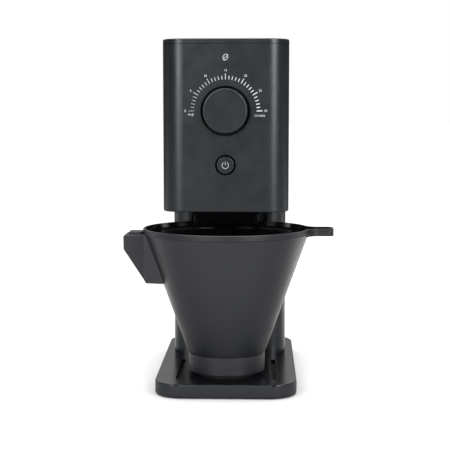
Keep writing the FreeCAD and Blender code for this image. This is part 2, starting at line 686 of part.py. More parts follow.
# ---- burrs and grinding chamber ----
def chamber_housing():
    outer_r = CHAMBER_R + 3
    bowl = post(outer_r, CHAMBER_FLOOR, CHAMBER_TOP, 0, BURR_Y)
    bowl = bowl.fuse(post(42.0, CHAMBER_TOP, CHAMBER_TOP + 3.8, 0, BURR_Y))
    bowl = bowl.fuse(box(-9, 9, BURR_Y - 50, BURR_Y - 38, CHAMBER_TOP, CHAMBER_TOP + 3.8))
    bowl = bowl.fuse(box(-16, 16, CHUTE_REAR + 0.2, BURR_Y - 30, CHAMBER_FLOOR, 243))
    bowl = bowl.cut(post(CHAMBER_R, CHAMBER_FLOOR + 3, CHAMBER_TOP + 5, 0, BURR_Y))
    bowl = bowl.cut(box(-14, 14, CHUTE_REAR - 2, BURR_Y - 20, CHAMBER_FLOOR + 3, 241))
    bowl = bowl.cut(post(8.05, CHAMBER_FLOOR - 1, CHAMBER_FLOOR + 4, 0, BURR_Y))
    for side in (-1, 1):
        x0 = min(side * 32, side * 35)
        bowl = bowl.cut(box(x0, x0 + 3, BURR_Y - 3.3, BURR_Y + 3.3, 237, CHAMBER_TOP + 5))
    return bowl.removeSplitter()


def grounds_sweeper():
    disc = post(30.0, CHAMBER_FLOOR + 4, CHAMBER_FLOOR + 6, 0, BURR_Y)
    for index in range(4):
        paddle = box(22, 30.5, -1.2, 1.2, CHAMBER_FLOOR + 4, CHAMBER_FLOOR + 12)
        paddle.rotate(Vector(0, 0, 0), UP, 90 * index + 30)
        paddle.translate(Vector(0, BURR_Y, 0))
        disc = disc.fuse(paddle)
    disc = disc.fuse(post(9.0, CHAMBER_FLOOR + 4, CHAMBER_FLOOR + 12, 0, BURR_Y))
    return disc.cut(post(BURR_SHAFT_R, CHAMBER_FLOOR, CHAMBER_FLOOR + 13, 0, BURR_Y)).removeSplitter()


def toothed_wire(tip_r, root_r, turn, z):
    """Closed outline of the cone burr's sixteen saw teeth at one height."""
    teeth = 16
    points = []
    for index in range(teeth):
        for radius, share in ((root_r, 0.0), (tip_r, 0.18), (tip_r, 0.42)):
            angle = math.radians(turn + (index + share) * 360 / teeth)
            points.append(Vector(radius * math.cos(angle), BURR_Y + radius * math.sin(angle), z))
    return Part.makePolygon(points + points[:1])


def cone_burr():
    foot = CHAMBER_FLOOR + 12
    sections = [toothed_wire(21.0, 18.6, 0, foot), toothed_wire(21.0, 18.6, 0, foot + 2),
                toothed_wire(9.0, 7.6, 24, foot + 27)]
    burr = Part.makeLoft(sections, True, True)
    return burr.cut(post(BURR_SHAFT_R, foot - 1, foot + 28, 0, BURR_Y))


def burr_nut():
    z0 = CHAMBER_FLOOR + 39
    points = []
    for index in range(6):
        angle = math.radians(60 * index)
        points.append(Vector(7 * math.cos(angle), BURR_Y + 7 * math.sin(angle), z0))
    nut = Part.Face(Part.makePolygon(points + points[:1])).extrude(Vector(0, 0, 4))
    return nut.cut(post(BURR_SHAFT_R, z0, z0 + 4, 0, BURR_Y))


def ring_burr():
    foot = CHAMBER_FLOOR + 15
    profile = [(21.4, foot), (27.0, foot), (27.0, foot + 20), (14.6, foot + 20)]
    burr = turned(profile, 0, BURR_Y)
    for index in range(12):
        flute = Part.makeCylinder(1.2, 30, Vector(20.6, 0, foot - 3), Vector(-0.34, -0.16, 1))
        flute.rotate(Vector(0, 0, 0), UP, 30 * index)
        flute.translate(Vector(0, BURR_Y, 0))
        burr = burr.cut(flute)
    return burr


def burr_carrier():
    foot = CHAMBER_FLOOR + 14
    cup = pipe(30.0, 27.0, foot, foot + 21, 0, BURR_Y)
    cup = cup.fuse(pipe(30.0, 20.6, foot + 21, foot + 24, 0, BURR_Y))
    for side in (-1, 1):
        x0 = min(side * 28, side * 34.4)
        key = box(x0, x0 + 6.4, BURR_Y - 3, BURR_Y + 3, foot + 3, foot + 12)
        cup = cup.fuse(key.cut(post(27.0, foot, foot + 20, 0, BURR_Y)))
    for index in range(3):
        lug = box(29, 32.6, -4, 4, RING_Z + 2, RING_Z + 4.5)
        lug.rotate(Vector(0, 0, 0), UP, 90 + 120 * index)
        lug.translate(Vector(0, BURR_Y, 0))
        cup = cup.fuse(lug.cut(post(27.0, RING_Z, RING_Z + 3.0, 0, BURR_Y)))
    return cup.removeSplitter()


def adjusting_ring():
    """Ring that lifts the carrier; crown teeth face the dial's pinion at the front."""
    ring = pipe(40.0, 31.0, RING_Z, RING_Z + 8, 0, BURR_Y)
    ring = ring.cut(post(33.4, RING_Z + 1.4, RING_Z + 9, 0, BURR_Y))
    step = 5.0
    for index in range(-2, 12):
        tooth = box(33.8, 39.6, -0.65, 0.65, RING_Z + 7.5, RING_Z + 10)
        tooth.rotate(Vector(0, 0, 0), UP, -90 + step * (index + 0.5))
        tooth.translate(Vector(0, BURR_Y, 0))
        ring = ring.fuse(tooth)
    return ring.removeSplitter()


def chute():
    top = 248.0
    body = slab(-CHUTE_HALF, CHUTE_HALF, CHUTE_FRONT, CHUTE_REAR, CHUTE_BOTTOM, top, CHUTE_CORNER)
    body = body.makeFillet(0.8, edges_at(body, CHUTE_BOTTOM))
    body = body.fuse(slab(-CHUTE_HALF - 3, CHUTE_HALF + 3, CHUTE_FRONT - 2, CHUTE_REAR + 2,
                          HEAD_BOTTOM - CHUTE_FLANGE, HEAD_BOTTOM, CHUTE_CORNER + 2))
    for side in (-1, 1):
        for x in (side * 22.8, side * 26.6):
            rib = box(x - 0.6, x + 0.6, CHUTE_FRONT - 0.8, CHUTE_FRONT + 0.5,
                      CHUTE_BOTTOM + 1.4, HEAD_BOTTOM - CHUTE_FLANGE)
            body = body.fuse(rib)
    wall = 2.0
    body = body.cut(slab(-CHUTE_HALF + wall, CHUTE_HALF - wall, CHUTE_FRONT + wall, CHUTE_REAR - wall,
                         CHUTE_BOTTOM - 1, top - wall, CHUTE_CORNER - wall))
    return body.cut(box(-14, 14, CHUTE_REAR - 3, CHUTE_REAR + 1, CHAMBER_FLOOR + 3, 241)).removeSplitter()


# ---- filter holder ----
def cone_profile_r(z):
    share = (z - COLLAR_TOP) / (BAND_BOTTOM - COLLAR_TOP)
    return CONE_BOTTOM_R + (CONE_TOP_R - CONE_BOTTOM_R) * share


def holder_cone():
    t = HOLDER_WALL
    shoulder = COLLAR_TOP + 0.3
    outside = [(0, WELL_BOTTOM), (WELL_R, WELL_BOTTOM), (WELL_R, shoulder), (CONE_BOTTOM_R, shoulder),
               (CONE_TOP_R, BAND_BOTTOM), (BAND_R, BAND_BOTTOM + 0.6), (BAND_R, RIM_TOP - 0.5),
               (BAND_R - 0.5, RIM_TOP), (0, RIM_TOP)]
    inside = [(0, WELL_BOTTOM + t), (WELL_R - t, WELL_BOTTOM + t), (WELL_R - t, shoulder),
              (cone_profile_r(shoulder + t) - t, shoulder + t),
              (cone_profile_r(LEDGE_BOTTOM) - t, LEDGE_BOTTOM),
              (CONE_TOP_R - t - 0.6, BAND_BOTTOM - 0.2), (CONE_TOP_R - t - 0.2, BAND_BOTTOM + 0.2),
              (BAND_R - t, BAND_BOTTOM + 1.2), (BAND_R - t, RIM_TOP + 1), (0, RIM_TOP + 1)]
    body = turned(outside).fuse(tab_solid(0.0, TAB_BOTTOM, RIM_TOP)).removeSplitter()
    body = body.cut(turned(inside)).cut(tab_solid(t, TAB_BOTTOM + t, RIM_TOP + 1))
    for index in range(16):
        body = body.fuse(inner_rib(22.5 * index + 11.25))
    body = body.cut(post(DRAIN_R, WELL_BOTTOM - 1, WELL_BOTTOM + t + 1))
    body.translate(Vector(0, HOLDER_Y, 0))
    return body.removeSplitter()


def inner_rib(angle):
    """Upright rib that keeps the paper filter off the cone's wall."""
    z0, z1 = COLLAR_TOP + 4.0, BAND_BOTTOM - 18
    points = []
    for z, inward in ((z0, 0.9), (z0, 3.0), (z1 - 3, 3.0), (z1, 0.9)):
        points.append(Vector(cone_profile_r(z) - inward, -0.7, z))
    rib = Part.Face(Part.makePolygon(points + points[:1])).extrude(Vector(0, 1.4, 0))
    rib.rotate(Vector(0, 0, 0), UP, angle)
    return rib


def tab_solid(inset, z0, z1):
    """Grip tab on the right, flared into the rim by round fillets."""
    half = TAB_HALF - inset
    reach = TAB_REACH - inset
    ring = BAND_R - inset
    flare = 11.0 + inset
    flare_x = math.sqrt((ring + flare) ** 2 - (half + flare) ** 2)
    touch = ring / (ring + flare)
    end_r = 5.0 - inset / 2
    near = Vector(flare_x * touch, -(half + flare) * touch, z0)
    middle_angle = math.atan2(near.y + half + flare, near.x - flare_x) / 2 + math.pi / 4
    bend = Vector(flare_x + flare * math.cos(middle_angle),
                  -(half + flare) + flare * math.sin(middle_angle), z0)
    straight = Vector(flare_x, -half, z0)
    corner = Vector(reach - end_r, -half, z0)
    corner_bend = Vector(reach - end_r * (1 - math.sqrt(0.5)), -half + end_r * (1 - math.sqrt(0.5)), z0)
    side = Vector(reach, -half + end_r, z0)
    lower = [Part.LineSegment(Vector(10, near.y, z0), near).toShape(),
             Part.Arc(near, bend, straight).toShape(),
             Part.LineSegment(straight, corner).toShape(),
             Part.Arc(corner, corner_bend, side).toShape()]
    upper = [edge.mirror(Vector(0, 0, 0), BACK) for edge in lower]
    front = Part.LineSegment(side, Vector(reach, half - end_r, z0)).toShape()
    inner = Part.LineSegment(Vector(10, -near.y, z0), Vector(10, near.y, z0)).toShape()
    wire = Part.Wire(Part.__sortEdges__(lower + [front] + upper + [inner]))
    prism = Part.Face(wire).extrude(Vector(0, 0, z1 - z0))
    return prism.common(post(reach + 5, z0, z1))


def holder_collar():
    collar = post(COLLAR_R, COLLAR_BOTTOM, COLLAR_TOP)
    collar = collar.makeChamfer(0.6, edges_at(collar, COLLAR_TOP))
    collar = collar.cut(post(WELL_R + 0.1, COLLAR_BOTTOM + 2, COLLAR_TOP + 1))
    collar = collar.cut(post(22.0, COLLAR_BOTTOM - 1, COLLAR_BOTTOM + 3))
    collar.translate(Vector(0, HOLDER_Y, 0))
    return collar.removeSplitter()


def holder_handle():
    """Wedge grip on the left, with a flared root against the cone."""
    points = [(-99.0, 152.6), (-100.4, 150.9), (-100.2, 138.4), (-78.2, 105.0),
              (-60.0, 105.0), (-60.0, 152.6)]
    wire = Part.makePolygon([Vector(x, -14, z) for x, z in points + points[:1]])
    grip = Part.Face(wire).extrude(Vector(0, 28, 0))
    grip = grip.makeFillet(1.0, [edge for edge in grip.Edges if edge.BoundBox.XMin < -78.0])
    root = [Vector(-80.5, -14, 100), Vector(-58, -18.5, 100), Vector(-58, 18.5, 100), Vector(-80.5, 14, 100)]
    flare = Part.Face(Part.makePolygon(root + root[:1])).extrude(Vector(0, 0, 60))
    wide = Part.makePolygon([Vector(x, -20, z) for x, z in points + points[:1]])
    flare = flare.common(Part.Face(wide).extrude(Vector(0, 40, 0)))
    grip = grip.fuse(flare).removeSplitter()
    keep_out = [(0, 90), (cone_profile_r(90), 90), (CONE_TOP_R, BAND_BOTTOM),
                (BAND_R, BAND_BOTTOM + 0.6), (BAND_R, 170), (0, 170)]
    grip = grip.cut(turned(keep_out))
    grip.translate(Vector(0, HOLDER_Y, 0))
    return grip.removeSplitter()


def handle_top_plate():
    plate = slab(-95.5, -82.4, -10, 10, 152.6, 155.2, 1.5)
    plate = plate.makeFillet(0.6, edges_at(plate, 155.2))
    plate.translate(Vector(0, HOLDER_Y, 0))
    return plate


PARTS = {
    "base_shell": base_shell,
    "base_bottom_cover": base_cover,
    "cover_screws": cover_screws,
    "rubber_feet": rubber_feet,
    "holder_seat_pad": holder_seat,
    "column_shell": column_shell,
    "column_rear_cover": column_rear_cover,
    "rear_cover_screws": rear_cover_screws,
    "column_screws": column_screws,
    "cord_gland": cord_gland,
    "power_board": power_board,
    "board_standoffs": board_standoffs,
    "mains_capacitor": mains_capacitor,
    "transformer": transformer,
    "motor_leads": motor_leads,
    "head_housing": head_housing,
    "head_underside_cover": underside_cover,
    "lid": lid,
    "lid_seal": lid_seal,
    "bean_hopper": bean_hopper,
    "hopper_gasket": hopper_gasket,
    "dial_cup": dial_cup,
    "dial_bush": dial_bush,
    "dial_bracket": dial_bracket,
    "dial_knob": dial_knob,
    "dial_shaft": dial_shaft,
    "dial_pinion": dial_pinion,
    "button_housing": button_housing,
    "power_button": power_button,
    "button_spring": button_spring,
    "micro_switch": micro_switch,
    "gearbox_case": gearbox_case,
    "gearbox_lid": gearbox_lid,
    "gearbox_screws": gearbox_screws,
    "shaft_bearings": shaft_bearings,
    "shaft_seal": shaft_seal,
    "burr_shaft": burr_shaft,
    "burr_gear": burr_gear,
    "idler_gear": idler_gear,
    "idler_pin": idler_pin,
    "motor_can": motor_can,
    "motor_end_cap": motor_end_cap,
    "motor_magnets": motor_magnets,
    "motor_brushes": motor_brushes,
    "motor_armature": motor_armature,
    "motor_shaft": motor_shaft,
    "motor_pinion": motor_pinion,
    "motor_fan": motor_fan,
    "chamber_housing": chamber_housing,
    "grounds_sweeper": grounds_sweeper,
    "cone_burr": cone_burr,
    "burr_nut": burr_nut,
    "ring_burr": ring_burr,
    "burr_carrier": burr_carrier,
    "adjusting_ring": adjusting_ring,
    "grounds_chute": chute,
    "holder_cone": holder_cone,
    "holder_collar": holder_collar,
    "holder_handle": holder_handle,
    "handle_top_plate": handle_top_plate,
}

os.makedirs("parts", exist_ok=True)
for name, make in PARTS.items():
    shape = make()
    shape.translate(Vector(0, ORIGIN_SHIFT, 0))
    state = "ok" if shape.isValid() else "INVALID"
    print(name, state, len(shape.Solids), round(shape.Volume))
    shape.exportStep("parts/" + name + ".step")
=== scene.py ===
import bmesh
import bpy
import json
import math
from mathutils import Matrix, Vector


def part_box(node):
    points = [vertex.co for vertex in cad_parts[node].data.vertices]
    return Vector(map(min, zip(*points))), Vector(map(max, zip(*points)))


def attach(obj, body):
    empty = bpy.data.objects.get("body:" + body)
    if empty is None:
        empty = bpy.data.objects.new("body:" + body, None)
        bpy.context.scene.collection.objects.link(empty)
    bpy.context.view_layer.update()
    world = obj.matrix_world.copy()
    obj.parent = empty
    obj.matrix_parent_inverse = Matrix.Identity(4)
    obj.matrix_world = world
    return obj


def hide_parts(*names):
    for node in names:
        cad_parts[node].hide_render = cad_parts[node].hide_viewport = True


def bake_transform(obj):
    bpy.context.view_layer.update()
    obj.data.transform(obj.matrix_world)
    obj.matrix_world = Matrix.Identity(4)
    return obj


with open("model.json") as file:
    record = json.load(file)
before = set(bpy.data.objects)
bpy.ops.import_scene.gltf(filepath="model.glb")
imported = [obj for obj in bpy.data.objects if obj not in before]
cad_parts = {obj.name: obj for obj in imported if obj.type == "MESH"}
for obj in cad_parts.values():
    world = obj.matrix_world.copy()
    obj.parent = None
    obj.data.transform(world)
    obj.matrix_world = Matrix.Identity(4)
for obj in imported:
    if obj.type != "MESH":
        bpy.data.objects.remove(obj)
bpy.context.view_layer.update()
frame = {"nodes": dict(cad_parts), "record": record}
nodes = frame["nodes"]

MM = 0.001


# ---- materials ----
def shader(name):
    """A new material with its principled shader and object coordinates."""
    material = bpy.data.materials.new(name)
    material.use_nodes = True
    tree = material.node_tree
    bsdf = tree.nodes["Principled BSDF"]
    place = tree.nodes.new("ShaderNodeTexCoord").outputs["Object"]
    return material, tree, bsdf, place


def noise(tree, place, scale, detail=3.0, rough=0.5, stretch=None):
    if stretch:
        mapping = tree.nodes.new("ShaderNodeMapping")
        mapping.inputs["Scale"].default_value = stretch
        tree.links.new(place, mapping.inputs["Vector"])
        place = mapping.outputs["Vector"]
    texture = tree.nodes.new("ShaderNodeTexNoise")
    texture.inputs["Scale"].default_value = scale
    texture.inputs["Detail"].default_value = detail
    texture.inputs["Roughness"].default_value = rough
    tree.links.new(place, texture.inputs["Vector"])
    return texture.outputs["Fac"]


def remap(tree, value, low, high, start=0.0, end=1.0):
    node = tree.nodes.new("ShaderNodeMapRange")
    node.inputs["From Min"].default_value = low
    node.inputs["From Max"].default_value = high
    node.inputs["To Min"].default_value = start
    node.inputs["To Max"].default_value = end
    tree.links.new(value, node.inputs["Value"])
    return node.outputs["Result"]


def product(tree, first, second):
    node = tree.nodes.new("ShaderNodeMath")
    node.operation = "MULTIPLY"
    tree.links.new(first, node.inputs[0])
    tree.links.new(second, node.inputs[1])
    return node.outputs["Value"]


def blend_colours(tree, factor, first, second):
    ramp = tree.nodes.new("ShaderNodeValToRGB")
    ramp.color_ramp.elements[0].color = (*first, 1)
    ramp.color_ramp.elements[1].color = (*second, 1)
    tree.links.new(factor, ramp.inputs["Fac"])
    return ramp.outputs["Color"]


def bump(tree, bsdf, layers):
    """Chain of bumps; each layer is (height socket, depth in metres)."""
    normal = None
    for height, depth in layers:
        node = tree.nodes.new("ShaderNodeBump")
        node.inputs["Strength"].default_value = 1.0
        node.inputs["Distance"].default_value = depth
        tree.links.new(height, node.inputs["Height"])
        if normal:
            tree.links.new(normal, node.inputs["Normal"])
        normal = node.outputs["Normal"]
    tree.links.new(normal, bsdf.inputs["Normal"])


def moulded(name, colour, roughness, grain=0.00045, depth=0.00001, specular=0.5, sink=0.00004):
    """Moulded plastic: fine spark-eroded grain, slow colour drift, rubbed and dusty patches."""
    material, tree, bsdf, place = shader(name)
    drift = noise(tree, place, 14.0, 4.0)
    worn = noise(tree, place, 55.0, 6.0, 0.65)
    fine = noise(tree, place, 1.0 / grain, 2.0, 0.6)
    darker = tuple(c * 0.88 for c in colour)
    lighter = tuple(c * 1.12 for c in colour)
    tree.links.new(blend_colours(tree, drift, darker, lighter), bsdf.inputs["Base Color"])
    tree.links.new(remap(tree, worn, 0.3, 0.7, roughness - 0.04, roughness + 0.05), bsdf.inputs["Roughness"])
    bsdf.inputs["Specular IOR Level"].default_value = specular
    bump(tree, bsdf, [(fine, depth), (drift, sink)])
    return material


def metal(name, colour, roughness, stretch=(1, 1, 1), scale=900.0):
    """Turned or drawn metal: fine lines along the stretch, patchy polish."""
    material, tree, bsdf, place = shader(name)
    lines = noise(tree, place, scale, 3.0, 0.6, stretch)
    patch = noise(tree, place, 60.0, 4.0)
    darker = tuple(c * 0.8 for c in colour)
    tree.links.new(blend_colours(tree, patch, darker, colour), bsdf.inputs["Base Color"])
    tree.links.new(remap(tree, lines, 0.3, 0.7, roughness - 0.08, roughness + 0.1), bsdf.inputs["Roughness"])
    bsdf.inputs["Metallic"].default_value = 1.0
    bump(tree, bsdf, [(lines, 0.000012)])
    return material


def rubber(name, colour):
    material, tree, bsdf, place = shader(name)
    dust = noise(tree, place, 220.0, 5.0, 0.7)
    pores = noise(tree, place, 3500.0, 2.0)
    lighter = tuple(c * 1.6 + 0.004 for c in colour)
    tree.links.new(blend_colours(tree, dust, colour, lighter), bsdf.inputs["Base Color"])
    tree.links.new(remap(tree, dust, 0.3, 0.7, 0.72, 0.9), bsdf.inputs["Roughness"])
    bump(tree, bsdf, [(pores, 0.00003)])
    return material


def printed(name, colour):
    """Pad-printed ink, slightly uneven in tone."""
    material, tree, bsdf, place = shader(name)
    ink = noise(tree, place, 2500.0, 3.0)
    darker = tuple(c * 0.86 for c in colour)
    tree.links.new(blend_colours(tree, ink, darker, colour), bsdf.inputs["Base Color"])
    tree.links.new(remap(tree, ink, 0.3, 0.7, 0.5, 0.65), bsdf.inputs["Roughness"])
    bump(tree, bsdf, [(ink, 0.000006)])
    return material


def circuit_board(name):
    material, tree, bsdf, place = shader(name)
    cells = tree.nodes.new("ShaderNodeTexVoronoi")
    cells.inputs["Scale"].default_value = 260.0
    tree.links.new(place, cells.inputs["Vector"])
    tracks = remap(tree, cells.outputs["Distance"], 0.35, 0.45)
    colour = blend_colours(tree, tracks, (0.01, 0.09, 0.035), (0.03, 0.16, 0.06))
    tree.links.new(colour, bsdf.inputs["Base Color"])
    tree.links.new(remap(tree, tracks, 0, 1, 0.3, 0.5), bsdf.inputs["Roughness"])
    bump(tree, bsdf, [(tracks, 0.00003)])
    return material


BODY = moulded("body_black_plastic", (0.0068, 0.0092, 0.0116), 0.33, specular=0.54)
# One plastic in two copies: the top's colour is darker, painted shade around the holder, and the side copy is
# lighter, painted light.
BASE = moulded("base_black_plastic", (0.0060, 0.0068, 0.0085), 0.22, 0.0006, 0.000004, specular=0.5,
                sink=0.000006)
BASE_SIDE_PAINTED_LIGHT = moulded("base_side_painted_light_plastic", (0.0160, 0.0176, 0.0210), 0.34, specular=0.45)
HOLDER = moulded("holder_black_plastic", (0.0076, 0.0085, 0.0118), 0.40, specular=0.5)
HOLDER_INSIDE = moulded("holder_inside_plastic", (0.0045, 0.0045, 0.0050), 0.11, 0.0012, 0.000002,
                         specular=0.9, sink=0.00001)
CONTROL = moulded("control_black_plastic", (0.0068, 0.0094, 0.0115), 0.33, 0.0004, 0.000006, specular=0.55)
# Darker than the body's plastic: painted shade, for the recessed parts under the head and around the dial and
# the button.
RECESS_PAINTED_SHADE = moulded("recess_painted_shade_black", (0.0030, 0.0031, 0.0033), 0.5, specular=0.25)
# Near-black with little shine: painted shade, for the chute under the head and the groove floors in the base.
DEEP_PAINTED_SHADE = moulded("deep_painted_shade_black", (0.0012, 0.0012, 0.0013), 0.25, specular=0.06)
INNER = moulded("inner_grey_plastic", (0.10, 0.10, 0.105), 0.55, 0.0008, 0.00002)
SMOKED = moulded("hopper_smoked_plastic", (0.035, 0.034, 0.036), 0.2, 0.003, 0.000004)
NYLON = moulded("nylon_gear", (0.62, 0.60, 0.53), 0.48, 0.0007, 0.00001)
RUBBER = rubber("black_rubber", (0.010, 0.010, 0.010))
STEEL = metal("turned_steel", (0.62, 0.62, 0.63), 0.3, (1, 1, 12))
BURR = metal("hardened_burr_steel", (0.42, 0.42, 0.44), 0.36, (1, 1, 4), 500.0)
BRASS = metal("brass", (0.74, 0.56, 0.26), 0.28, (1, 8, 1))
IRON = metal("plated_iron", (0.36, 0.37, 0.39), 0.42)
FERRITE = rubber("ferrite", (0.028, 0.028, 0.030))
BOARD = circuit_board("circuit_board_green")
INK = printed("print_grey", (0.56, 0.57, 0.58))
BUTTON_INK = printed("print_dim_grey", (0.42, 0.425, 0.43))

SLOT_MATERIAL = {
    "body_black": BODY, "base_black": BASE, "holder_black": HOLDER, "control_black": CONTROL,
    "inner_plastic": INNER, "clear_hopper": SMOKED, "rubber_black": RUBBER, "steel": STEEL,
    "burr_steel": BURR, "gear_plastic": NYLON, "brass_fittings": BRASS, "motor_iron": IRON,
    "magnet_iron": FERRITE, "circuit_board": BOARD,
}
for entry in frame["record"]["subparts"]:
    mesh = nodes[entry["node"]].data
    mesh.materials.clear()
    mesh.materials.append(SLOT_MATERIAL[entry["material_slot"]])
    mesh.set_sharp_from_angle(angle=math.radians(28))
# Parts under the head, behind the dial and around the button get the darker painted shade.
for name in ("head_underside_cover", "dial_cup", "button_housing"):
    nodes[name].data.materials[0] = RECESS_PAINTED_SHADE
# The chute under the head's overhang gets the near-black painted shade.
nodes["grounds_chute"].data.materials[0] = DEEP_PAINTED_SHADE


# ---- places read from the frame ----
knob_low, knob_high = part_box("dial_knob")
DIAL = Vector(((knob_low.x + knob_high.x) / 2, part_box("head_housing")[0].y, (knob_low.z + knob_high.z) / 2))
button_low, button_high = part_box("power_button")
BUTTON = Vector(((button_low.x + button_high.x) / 2, button_low.y, (button_low.z + button_high.z) / 2))
CONE_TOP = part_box("holder_cone")[1].z
collar_low, collar_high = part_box("holder_collar")
HOLDER_AXIS = (collar_low + collar_high) / 2


# ---- mesh helpers ----
def place_mesh(name, mesh, body):
    clean = bmesh.new()
    clean.from_mesh(mesh)
    bmesh.ops.remove_doubles(clean, verts=clean.verts, dist=1e-7)
    bmesh.ops.recalc_face_normals(clean, faces=clean.faces)
    clean.to_mesh(mesh)
    clean.free()
    piece = bpy.data.objects.new(name, mesh)
    bpy.context.scene.collection.objects.link(piece)
    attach(piece, body)
    return piece


# ---- dial scale and other prints ----
PRINT_THICKNESS = 0.06 * MM
PRINT_ROOT = 0.01 * MM
FONT_SIZE_PER_HEIGHT = 1.42
SCALE_STEPS = 30
TICK_INNER = 29.4 * MM
TICK_OUTER = 32.8 * MM
LONG_TICK_OUTER = 34.6 * MM
NUMBER_R = 37.6 * MM
NUMBER_HEIGHT = 2.2 * MM
WORD_HEIGHT = 1.9 * MM
POWER_R = 3.0 * MM
POWER_LINE = 0.55 * MM
POWER_BAR = 3.6 * MM
POWER_DROP = 0.2 * MM
BEAN_DROP = 12.6 * MM


def plate_quad(points, front_y):
    """Thin raised plate from (x, z) corners; stands on the plane y = front_y."""
    verts = [(x, front_y - PRINT_THICKNESS, z) for x, z in points]
    verts += [(x, front_y + PRINT_ROOT, z) for x, z in points]
    n = len(points)
    faces = [tuple(range(n)), tuple(range(2 * n - 1, n - 1, -1))]
    faces += [(i, (i + 1) % n, (i + 1) % n + n, i + n) for i in range(n)]
    return verts, faces


def text_mesh(words, height, x, z, front_y):
    """Flat letters facing the front, centred on (x, z)."""
    curve = bpy.data.curves.new("print_text", "FONT")
    curve.body = words
    curve.size = height * FONT_SIZE_PER_HEIGHT
    curve.extrude = PRINT_THICKNESS / 2
    curve.align_x = "CENTER"
    curve.align_y = "CENTER"
    holder = bpy.data.objects.new("print_text", curve)
    mesh = bpy.data.meshes.new_from_object(holder)
    bpy.data.objects.remove(holder)
    bpy.data.curves.remove(curve)
    upright = Matrix.Rotation(math.pi / 2, 4, "X")
    mesh.transform(Matrix.Translation((x, front_y - PRINT_THICKNESS / 2, z)) @ upright)
    return mesh


def join_meshes(name, meshes):
    joined = bmesh.new()
    for mesh in meshes:
        joined.from_mesh(mesh)
        bpy.data.meshes.remove(mesh)
    result = bpy.data.meshes.new(name)
    joined.to_mesh(result)
    joined.free()
    return result


def mesh_of(verts, faces):
    mesh = bpy.data.meshes.new("part")
    mesh.from_pydata(verts, [], faces)
    return mesh


def dial_scale():
    """Ticks from fine, on the left, over the top to coarse; they thicken on the way."""
    meshes = []
    for step in range(SCALE_STEPS + 1):
        angle = math.pi * (1 - step / SCALE_STEPS)
        outer = LONG_TICK_OUTER if step % 5 == 0 else TICK_OUTER
        half = (0.16 + 0.34 * step / SCALE_STEPS) * MM
        along = Vector((math.cos(angle), math.sin(angle)))
        across = Vector((-along.y, along.x)) * half
        corners = [along * TICK_INNER - across, along * outer - across,
                   along * outer + across, along * TICK_INNER + across]
        corners = [(DIAL.x + c.x, DIAL.z + c.y) for c in corners]
        meshes.append(mesh_of(*plate_quad(corners, DIAL.y)))
        if step % 5 == 0:
            x, z = DIAL.x + along.x * NUMBER_R, DIAL.z + along.y * NUMBER_R
            meshes.append(text_mesh(str(step), NUMBER_HEIGHT, x, z, DIAL.y))
    meshes.append(text_mesh("FINE", WORD_HEIGHT, DIAL.x - 32.4 * MM, DIAL.z - 3.6 * MM, DIAL.y))
    meshes.append(text_mesh("COARSE", WORD_HEIGHT, DIAL.x + 32.2 * MM, DIAL.z - 4.6 * MM, DIAL.y))
    mesh = join_meshes("dial_scale_print", meshes)
    mesh.materials.append(INK)
    return place_mesh("dial_scale_print", mesh, "stand")


def band(points, width, front_y):
    """Thin raised line of constant width through (x, z) points; stands on the plane y = front_y."""
    verts, faces = [], []
    for i, point in enumerate(points):
        along = points[min(i + 1, len(points) - 1)] - points[max(i - 1, 0)]
        across = Vector((-along.y, along.x)).normalized() * width / 2
        for corner in (point - across, point + across):
            verts.append((corner.x, front_y - PRINT_THICKNESS, corner.y))
            verts.append((corner.x, front_y + PRINT_ROOT, corner.y))
    for i in range(len(points) - 1):
        a, b = 4 * i, 4 * (i + 1)
        faces += [(a, b, b + 2, a + 2), (a + 1, a + 3, b + 3, b + 1)]
        faces += [(a, a + 1, b + 1, b), (a + 2, b + 2, b + 3, a + 3)]
    last = 4 * (len(points) - 1)
    faces += [(0, 2, 3, 1), (last, last + 1, last + 3, last + 2)]
    return mesh_of(verts, faces)


def power_symbol():
    centre = Vector((BUTTON.x, BUTTON.z - POWER_DROP))
    gap = math.radians(34)
    ring = []
    for i in range(49):
        angle = math.pi / 2 + gap + (2 * math.pi - 2 * gap) * i / 48
        ring.append(centre + Vector((math.cos(angle), math.sin(angle))) * POWER_R)
    bar = [centre + Vector((0, POWER_DROP)), centre + Vector((0, POWER_BAR))]
    lines = [band(ring, POWER_LINE, BUTTON.y), band(bar, POWER_LINE, BUTTON.y)]
    mesh = join_meshes("power_symbol_print", lines)
    mesh.materials.append(BUTTON_INK)
    return place_mesh("power_symbol_print", mesh, "power_button")


def bean_symbol():
    """Small outline of a coffee bean, leaning to the right, with its crease."""
    centre = Vector((DIAL.x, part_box("head_housing")[1].z - BEAN_DROP))
    lean = Matrix.Rotation(math.radians(-32), 2)
    rim = []
    for i in range(41):
        angle = 2 * math.pi * i / 40
        rim.append(centre + lean @ Vector((2.1 * math.cos(angle), 3.0 * math.sin(angle))) * MM)
    crease = []
    for i in range(17):
        share = i / 8 - 1
        crease.append(centre + lean @ Vector((0.55 * math.sin(math.pi * share), 2.7 * share)) * MM)
    mesh = join_meshes("bean_symbol_print", [band(rim, 0.5 * MM, DIAL.y), band(crease, 0.45 * MM, DIAL.y)])
    mesh.materials.append(INK)
    return place_mesh("bean_symbol_print", mesh, "stand")


# ---- base ----
GROOVE_X = 46.5 * MM
GROOVE_HALF = 2.6 * MM
GROOVE_SINK = 2.6 * MM
GROOVE_END = 30 * MM


